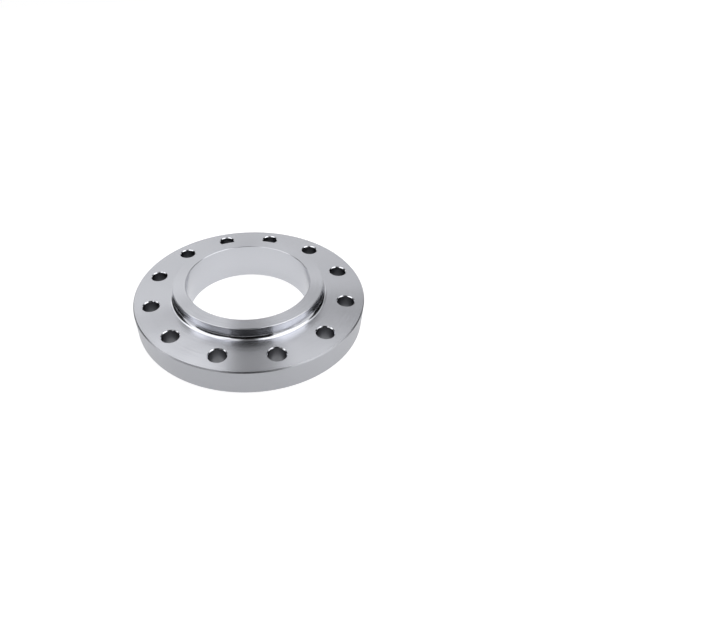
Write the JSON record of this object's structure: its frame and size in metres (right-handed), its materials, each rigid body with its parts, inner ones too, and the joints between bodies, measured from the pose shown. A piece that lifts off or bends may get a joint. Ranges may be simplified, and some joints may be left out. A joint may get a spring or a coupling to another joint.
{
  "type": "slip on flange",
  "caption": "Round slip on pipe flange with a raised gasket face, a short hub, a straight bore and a ring of bolt holes.",
  "frame": {"origin": "centre of the raised gasket face, on the bore axis", "axes": "+Z along the bore axis, from the gasket face towards the hub; the bolt holes straddle the X and Y axes"},
  "size_m": [0.3174, 0.3174, 0.0523],
  "materials": {
    "steel": "bare forged steel, turned all over with fine concentric tool marks, and drilled"
  },
  "bodies": {
    "root": {"flange": "steel"}
  },
  "joints": []
}
